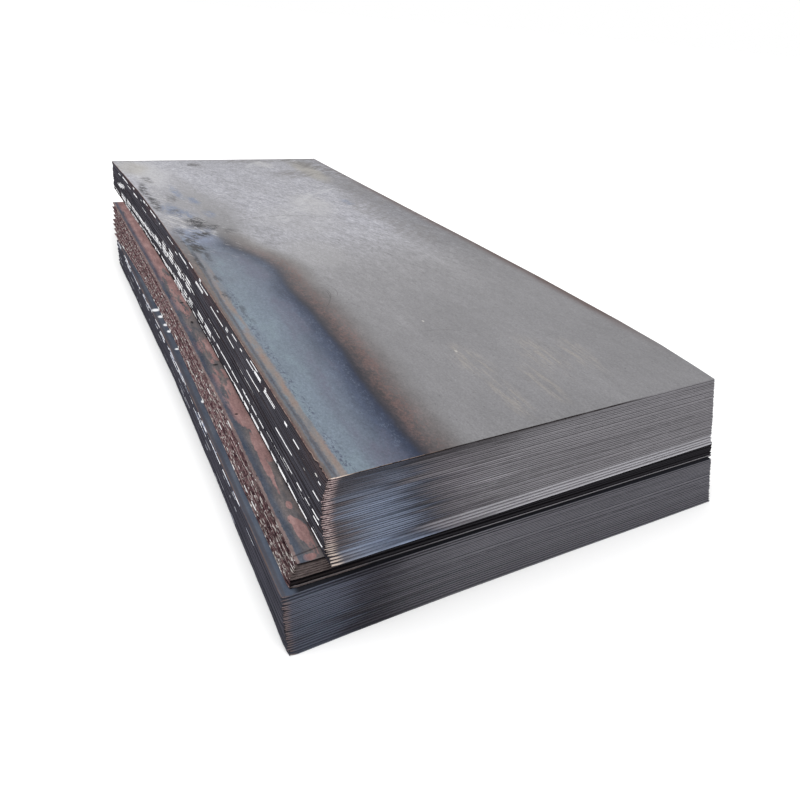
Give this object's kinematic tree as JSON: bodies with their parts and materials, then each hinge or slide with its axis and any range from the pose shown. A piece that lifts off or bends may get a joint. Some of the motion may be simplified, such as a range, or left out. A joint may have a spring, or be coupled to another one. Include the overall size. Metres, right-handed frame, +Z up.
{
  "type": "stack of steel plates",
  "caption": "Pile of flat rectangular hot-rolled steel plates in mill-scale finish, stacked on a level floor in stepped layers, held as raw stock for cutting and forming.",
  "frame": {"origin": "bottom centre of the whole pile's bounding box, on the floor", "axes": "+Z up, +Y along the plates' length away from the near end, +X across their width towards the side where the stacks are flush"},
  "size_m": [1.6794, 4.2566, 0.4705],
  "materials": {
    "top_plate_steel": "hot-rolled mill scale, grey with a blue heat tint along one side",
    "upper_steel": "sheared plate edges, dark blue-grey scale",
    "middle_steel": "sheared plate edges, lightly rusted, reddish brown",
    "lower_steel": "sheared plate edges, dark slate scale"
  },
  "bodies": {
    "root": {"lower_plate_1": "lower_steel", "lower_plate_2": "lower_steel", "lower_pack_1": "lower_steel", "lower_pack_2": "lower_steel", "lower_pack_3": "lower_steel", "lower_pack_4": "lower_steel", "lower_pack_5": "lower_steel", "lower_plate_top": "lower_steel", "middle_heavy_plate_1": "middle_steel", "middle_heavy_plate_2": "middle_steel", "middle_pack": "middle_steel", "middle_plate_top": "middle_steel", "upper_heavy_plate_1": "upper_steel", "upper_heavy_plate_2": "upper_steel", "upper_heavy_plate_3": "upper_steel", "upper_heavy_plate_4": "upper_steel", "upper_pack_1": "upper_steel", "upper_pack_2": "upper_steel", "upper_pack_3": "upper_steel", "upper_pack_4": "upper_steel", "upper_pack_5": "upper_steel", "upper_pack_6": "upper_steel", "upper_pack_7": "upper_steel", "upper_plate_top": "top_plate_steel"}
  },
  "joints": []
}
